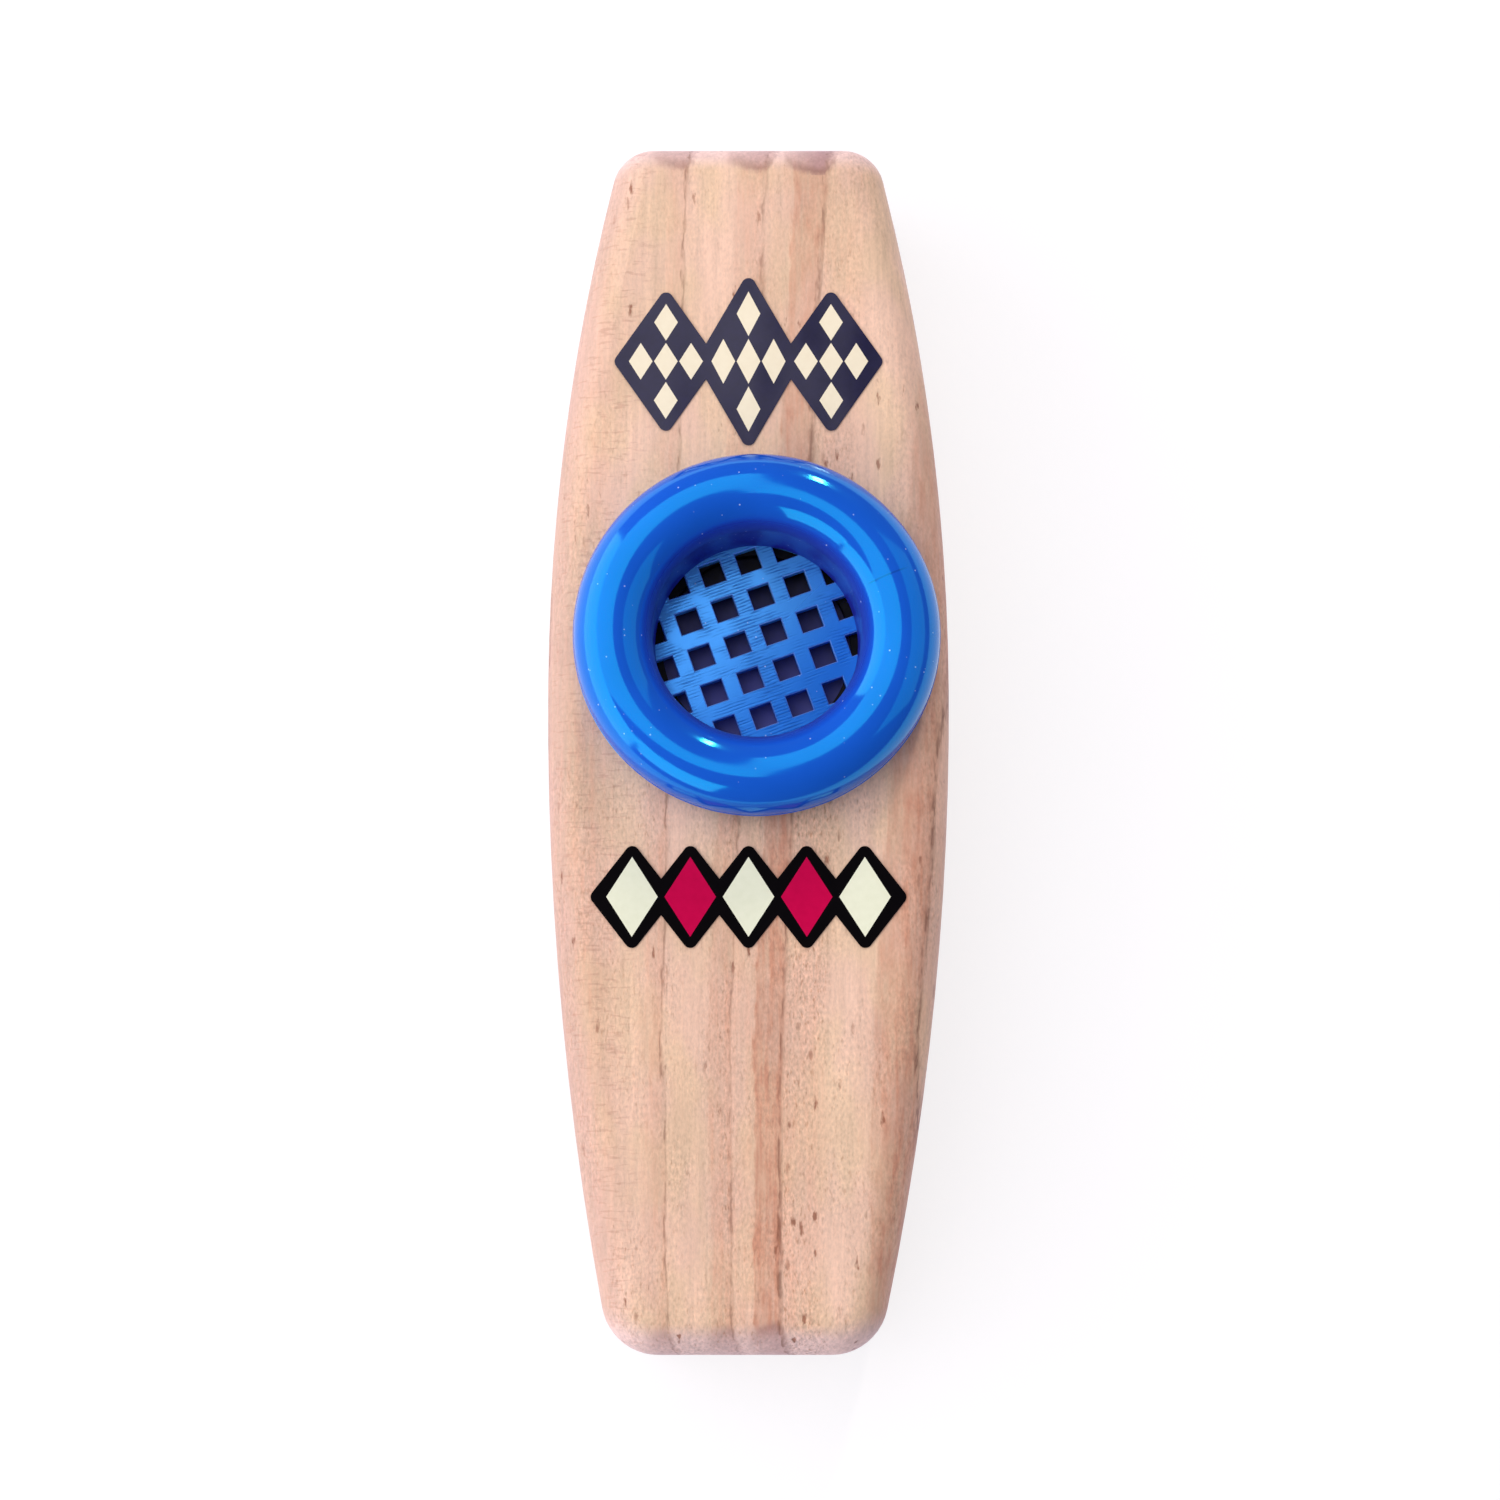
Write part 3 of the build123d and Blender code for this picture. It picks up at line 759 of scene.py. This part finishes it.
def harlequin_tree():
    """A row of diamonds, each checked with small diamonds of ink."""
    tree, size = new_tree("harlequin_row", [
        ("Count", "Int"), ("Pitch", "Float"), ("Half width", "Float"), ("Half height", "Float"),
        ("Side share", "Float"), ("Cells", "Int"), ("Cell share", "Float"), ("Step", "Int"),
        ("First", "Int"), ("Ink height", "Float"), ("Place", "Vector"), ("Material", "Material"),
    ])
    # One checked diamond of unit size: a square grid of cells turned onto its corner
    cells = add(tree, "ShaderNodeMath", {0: size["Cells"], 1: 1.0}, operation="SUBTRACT")
    span = add(tree, "ShaderNodeMath", {0: cells, 1: size["Cells"]}, operation="DIVIDE")
    span = add(tree, "ShaderNodeMath", {0: span, 1: hypot(1.0, 1.0)}, operation="MULTIPLY")
    grid = add(tree, "GeometryNodeMeshGrid", {
        "Size X": span, "Size Y": span, "Vertices X": size["Cells"], "Vertices Y": size["Cells"],
    })
    turned = add(tree, "GeometryNodeTransform", {"Geometry": grid, "Rotation": (0.0, 0.0, pi / 4)})
    index = add(tree, "GeometryNodeInputIndex")
    parity = add(tree, "ShaderNodeMath", {0: index, 1: 2.0}, operation="MODULO")
    even = add(tree, "ShaderNodeMath", {0: parity, 1: 0.5}, operation="LESS_THAN")
    cell_size = add(tree, "ShaderNodeMath", {0: size["Cell share"], 1: size["Cells"]}, operation="DIVIDE")
    cell_scale = add(tree, "ShaderNodeCombineXYZ", {0: cell_size, 1: cell_size, 2: 1.0})
    check = add(tree, "GeometryNodeInstanceOnPoints", {
        "Points": turned, "Selection": even, "Instance": size["Geometry"], "Scale": cell_scale,
    })
    # The row: every so many diamonds are picked, and the middle one has its full height
    reach = add(tree, "ShaderNodeMath", {0: size["Count"], 1: 1.0}, operation="SUBTRACT")
    middle = add(tree, "ShaderNodeMath", {0: reach, 1: 0.5}, operation="MULTIPLY")
    start = add(tree, "ShaderNodeMath", {0: middle, 1: size["Pitch"]}, operation="MULTIPLY")
    start = add(tree, "ShaderNodeMath", {0: 0.0, 1: start}, operation="SUBTRACT")
    start = add(tree, "ShaderNodeCombineXYZ", {0: start})
    offset = add(tree, "ShaderNodeCombineXYZ", {0: size["Pitch"]})
    row = add(tree, "GeometryNodeMeshLine", {
        "Count": size["Count"], "Start Location": start, "Offset": offset,
    })
    turn = add(tree, "ShaderNodeMath", {0: index, 1: size["Step"]}, operation="MODULO")
    picked = add(tree, "ShaderNodeMath", {0: turn, 1: size["First"], 2: 0.1}, operation="COMPARE")
    centre = add(tree, "ShaderNodeMath", {0: index, 1: middle, 2: 0.1}, operation="COMPARE")
    share = add(tree, "ShaderNodeMix", {"Factor": centre, "A": size["Side share"], "B": 1.0})
    tall = add(tree, "ShaderNodeMath", {0: share, 1: size["Half height"]}, operation="MULTIPLY")
    diamond_scale = add(tree, "ShaderNodeCombineXYZ", {
        0: size["Half width"], 1: tall, 2: size["Ink height"],
    })
    diamonds = add(tree, "GeometryNodeInstanceOnPoints", {
        "Points": row, "Selection": picked, "Instance": check, "Scale": diamond_scale,
    })
    return finish_tree(tree, diamonds, size)


turned_piece = turned_tree()
thread_ridge = thread_tree()
punched_disc = punched_tree()
harlequin_row = harlequin_tree()


# Turret ring, turned from its section

def arc(centre, radius, start, end, count):
    """Points of an arc from one angle to another, both ends included."""
    steps = [start + (end - start) * i / count for i in range(count + 1)]
    return [(centre[0] + radius * cos(a), centre[1] + radius * sin(a)) for a in steps]


def turret_section():
    """Section of the ring in radius and height above the face, from the throat over the crown."""
    crown_steps, flank_steps, hollow_steps = 64, 20, 32
    lip = 0.16 * mm
    bead = 0.05 * mm
    bead_angle = 0.06
    turret_radius = crest_radius + crown_radius
    hollow_radius = crown_radius - turret_wall
    flank_radius = (foot_inset ** 2 + belt_height ** 2) / (2 * foot_inset)
    foot_radius = turret_radius - foot_inset
    crown_centre = (crest_radius, belt_height)
    flank_centre = (turret_radius - flank_radius, belt_height)
    flank_end = -Vector((foot_radius - flank_centre[0], belt_height)).angle(Vector((1.0, 0.0)))
    points = arc(crown_centre, crown_radius, pi, 0.0, crown_steps)
    # The mould's parting bead, just under the belt
    points += [(turret_radius + bead, belt_height - bead), (turret_radius + bead, belt_height - 3 * bead)]
    points += arc(flank_centre, flank_radius, -bead_angle, flank_end, flank_steps)
    points += [(foot_radius - foot_width, 0.0)]
    points += arc(crown_centre, hollow_radius, 0.0, pi, hollow_steps)
    # The spigot, the grille's pocket and the fine lip at the throat's foot
    points += [
        (spigot_radius, lead_in - spigot_length),
        (spigot_radius - lead_in, -spigot_length),
        (pocket_radius, -spigot_length),
        (pocket_radius, -grille_depth),
        (throat_radius - lip, -grille_depth),
        (throat_radius - lip, lip / 2 - grille_depth),
        (throat_radius, 2 * lip - grille_depth),
    ]
    return points


def swept_section(points, path_radius):
    """A section's points as the sweep takes them: outwards from the path, and downwards."""
    return [(radius - path_radius, -height) for radius, height in points]


ring_steps = 256
ring_crease = radians(35)
ring_seed = outline_mesh("turret_section", swept_section(turret_section(), crest_radius))
ring_mesh = grow(
    "turret_crown", turned_piece, ring_seed, ring_crease,
    Path_radius=crest_radius, Steps=ring_steps, Place=turret_axis, Material=turret_blue,
)
ring = new_piece("turret_crown", ring_mesh, "turret")
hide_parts("turret_ring")


# Threads of the spigot and of the collar, half a pitch apart

def ridge_section(root, tip, root_width, tip_width):
    """Section of a thread ridge, from its root to its tip, about the path."""
    root_half, tip_half = root_width / 2, tip_width / 2
    points = [(root, root_half), (tip, tip_half), (tip, -tip_half), (root, -root_half)]
    return points if tip < root else points[::-1]


ridge_width = 1.25 * mm
ridge_tip_width = 0.6 * mm
ridge_height = 0.6 * mm
ridge_sink = 0.06 * mm
ridge_steps = 96
ridge_crease = radians(40)
ridge_run_out = 0.08
ridge_end_share = 0.1
spigot_low = -5.2 * mm
spigot_turns = 1.5
collar_low = spigot_low + thread_pitch / 2
collar_turns = 1.0

# The spigot's ridge stands outwards and the collar's inwards
for name, body, slot, radius, way, low, turns, material in (
    ("spigot_thread", "turret", "turret_plastic", spigot_radius, 1, spigot_low, spigot_turns, turret_blue),
    ("collar_thread", "kazoo_body", "collar_plastic", thread_bore_radius, -1, collar_low, collar_turns,
     collar_blue),
):
    section = ridge_section(-way * ridge_sink, way * ridge_height, ridge_width, ridge_tip_width)
    ridge_mesh = grow(
        name, thread_ridge, outline_mesh(name + "_section", section), ridge_crease,
        Path_radius=radius, Turns=turns, Rise=thread_pitch * turns, Steps=ridge_steps,
        Run_out=ridge_run_out, End_share=ridge_end_share,
        Place=turret_axis + Vector((0.0, 0.0, low)), Material=material,
    )
    new_piece(name, ridge_mesh, body)


# Grille disc, punched by a flared square

def prism(name, rings):
    """Closed mesh through rings of four corners each, from the lowest to the highest."""
    points = [point for corners in rings for point in corners]
    top = len(points) - 4
    faces = [(3, 2, 1, 0), (top, top + 1, top + 2, top + 3)]
    for level in range(0, top, 4):
        for i in range(4):
            j = (i + 1) % 4
            faces.append((level + i, level + j, level + 4 + j, level + 4 + i))
    mesh = bpy.data.meshes.new(name)
    mesh.from_pydata(points, [], faces)
    return mesh


def grille_punch():
    """Square punch about the disc's middle, whose top flares so that each hole gets an eased rim."""
    ease = 0.09 * mm
    overrun = 0.3 * mm
    half = grille_hole / 2
    top = grille_thickness / 2
    levels = ((-top - overrun, half), (top - ease, half), (top + overrun, half + ease + overrun))
    return prism("grille_punch", [
        [(-reach, -reach, height), (reach, -reach, height), (reach, reach, height), (-reach, reach, height)]
        for height, reach in levels
    ])


grille_steps = 160
grille_crease = radians(20)
cut_depth = 6 * grille_thickness
grille_middle = turret_axis.z - grille_depth - grille_thickness / 2
lattice_count = 2 * ceil(throat_radius / grille_pitch) + 3
grille_mesh = grow(
    "grille_disc", punched_disc, grille_punch(), grille_crease,
    Disc_radius=grille_radius, Throat_radius=throat_radius, Thickness=grille_thickness, Cut_depth=cut_depth,
    Steps=grille_steps, Pitch=grille_pitch, Count=lattice_count, Lattice=(*grille_lattice, 0.0),
    Turn=(0.0, 0.0, grille_turn), Place=(turret_axis.x, turret_axis.y, grille_middle), Material=grille_blue,
)
grille = new_piece("grille_disc", grille_mesh, "turret")
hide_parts("grille")


# Inks on the stickers

def ink_chip():
    """Unit diamond of ink, one unit thick, that stands on its film."""
    corners = [(-1.0, 0.0), (0.0, -1.0), (1.0, 0.0), (0.0, 1.0)]
    return prism("ink_chip", [[(px, py, height) for px, py in corners] for height in (0.0, 1.0)])


ink_height = 0.02 * mm
ink_crease = radians(30)
upper_place = Vector((0.0, (upper_decal_low.y + upper_decal_high.y) / 2, upper_decal_high.z))
lower_place = Vector((0.0, (lower_decal_low.y + lower_decal_high.y) / 2, lower_decal_high.z))
upper_row = dict(
    Count=3, Pitch=8.2 * mm, Half_width=3.75 * mm, Half_height=7.3 * mm, Side_share=0.82,
    Cells=3, Cell_share=0.94, Place=upper_place,
)
lower_row = dict(
    Count=5, Pitch=5.65 * mm, Half_width=2.5 * mm, Half_height=3.9 * mm, Side_share=1.0,
    Cells=1, Cell_share=1.0, Place=lower_place,
)
for name, material, row, step, first in (
    ("upper_cream_print", ink_cream, upper_row, 1, 0),
    ("lower_cream_print", ink_ivory, lower_row, 2, 0),
    ("lower_crimson_print", ink_crimson, lower_row, 2, 1),
):
    print_mesh = grow(
        name, harlequin_row, ink_chip(), ink_crease,
        Step=step, First=first, Ink_height=ink_height, Material=material, **row,
    )
    new_piece(name, print_mesh, "kazoo_body")


# Materials of the solids that stay
dress("wooden_body", pine)
dress("seat_collar", collar_blue)
dress("membrane_hoop", hoop_black)
dress("membrane", film)
dress("upper_decal", black_vinyl_painted_sheen)
dress("lower_decal", vinyl_matt)


# Studio: white floor, two windows to the left, a skylight, a reflector to the right and a small lamp

def studio_floor():
    """White paper: most of what the eye sees is its own white, so that the shadow stays soft."""
    reach = 3.0
    paper_white, shadow_white, own_white = 0.92, 0.30, 0.75
    mesh = bpy.data.meshes.new("studio_floor")
    corners = [(-reach, -reach, 0.0), (reach, -reach, 0.0), (reach, reach, 0.0), (-reach, reach, 0.0)]
    mesh.from_pydata(corners, [], [(0, 1, 2, 3)])
    material = bpy.data.materials.new("white_paper")
    material.use_nodes = True
    tree = material.node_tree
    rays = add(tree, "ShaderNodeLightPath").outputs
    seen = rays["Is Camera Ray"]
    for ray in ("Is Glossy Ray", "Is Transmission Ray"):
        seen = add(tree, "ShaderNodeMath", {0: seen, 1: rays[ray]}, operation="MAXIMUM")
    paper = add(tree, "ShaderNodeBsdfDiffuse", {"Color": grey(paper_white)})
    shadow = add(tree, "ShaderNodeBsdfDiffuse", {"Color": grey(shadow_white)})
    white = add(tree, "ShaderNodeEmission", {"Color": grey(1.0), "Strength": own_white})
    bright = add(tree, "ShaderNodeAddShader", {0: shadow, 1: white})
    mixed = add(tree, "ShaderNodeMixShader", {0: seen, 1: paper, 2: bright})
    feed(tree, tree.nodes["Material Output"], {"Surface": mixed})
    tree.nodes.remove(tree.nodes["Principled BSDF"])
    mesh.materials.append(material)
    floor = bpy.data.objects.new("studio_floor", mesh)
    bpy.context.scene.collection.objects.link(floor)
    floor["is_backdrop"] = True


studio_floor()
middle = (0.0, 0.0, 0.015)
daylight, bounced, bulb = "#faf4fb", "#f6f2ff", "#fff0e8"
# Each lamp's place, the point that it faces, its width and height in metres, its watts and its tint
for name, place, aim, width, height, power, tint in (
    ("window", (-0.60, 0.08, 0.31), (0.0, 0.08, 0.31), 1.0, 0.58, 4.7, daylight),
    ("low_window", (-0.40, -0.57, 0.42), middle, 0.48, 0.45, 1.75, daylight),
    ("skylight", (-0.39, 0.35, 0.80), (-0.39, 0.35, 0.0), 0.82, 1.0, 4.6, daylight),
    ("reflector", (0.62, 0.12, 0.50), middle, 0.8, 0.6, 1.0, bounced),
    ("lamp_shade", (0.20, 0.62, 0.34), middle, 0.04, 0.12, 1.3, bulb),
    ("lamp_foot", (0.20, 0.62, 0.245), middle, 0.045, 0.03, 0.35, bulb),
):
    lamp = bpy.data.lights.new(name, "AREA")
    lamp.shape = "RECTANGLE"
    lamp.size = width
    lamp.size_y = height
    lamp.energy = power
    lamp.color = colour(tint)[:3]
    holder = bpy.data.objects.new(name, lamp)
    holder.location = place
    holder.rotation_euler = (Vector(aim) - Vector(place)).to_track_quat("-Z", "Y").to_euler()
    bpy.context.scene.collection.objects.link(holder)

world = bpy.data.worlds.new("studio_air")
world.use_nodes = True
air = world.node_tree.nodes["Background"]
feed(world.node_tree, air, {"Color": colour("#e4dcff"), "Strength": 0.24})
bpy.context.scene.world = world
bpy.context.scene.view_settings.view_transform = "Standard"


# Camera at the photograph's angle: 350 mm above the face, tilted about nine degrees
frame_pixels = 1500
focal_pixels = 3628.1
principal_point = (748.5, 742.1)
sensor_width = 36.0
near_clip = 10 * mm
camera_place = Vector((0.0, -56.0 * mm, 370.0 * mm))
camera_aim = Vector((0.0, 0.0, 14.0 * mm))
lens = bpy.data.cameras.new("camera")
lens.sensor_width = sensor_width
lens.lens = focal_pixels * sensor_width / frame_pixels
lens.shift_x = (frame_pixels / 2 - principal_point[0]) / frame_pixels
lens.shift_y = (principal_point[1] - frame_pixels / 2) / frame_pixels
lens.clip_start = near_clip
camera = bpy.data.objects.new("camera", lens)
camera.location = camera_place
camera.rotation_euler = (camera_aim - camera_place).to_track_quat("-Z", "Y").to_euler()
bpy.context.scene.collection.objects.link(camera)
bpy.context.scene.camera = camera

low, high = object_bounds()
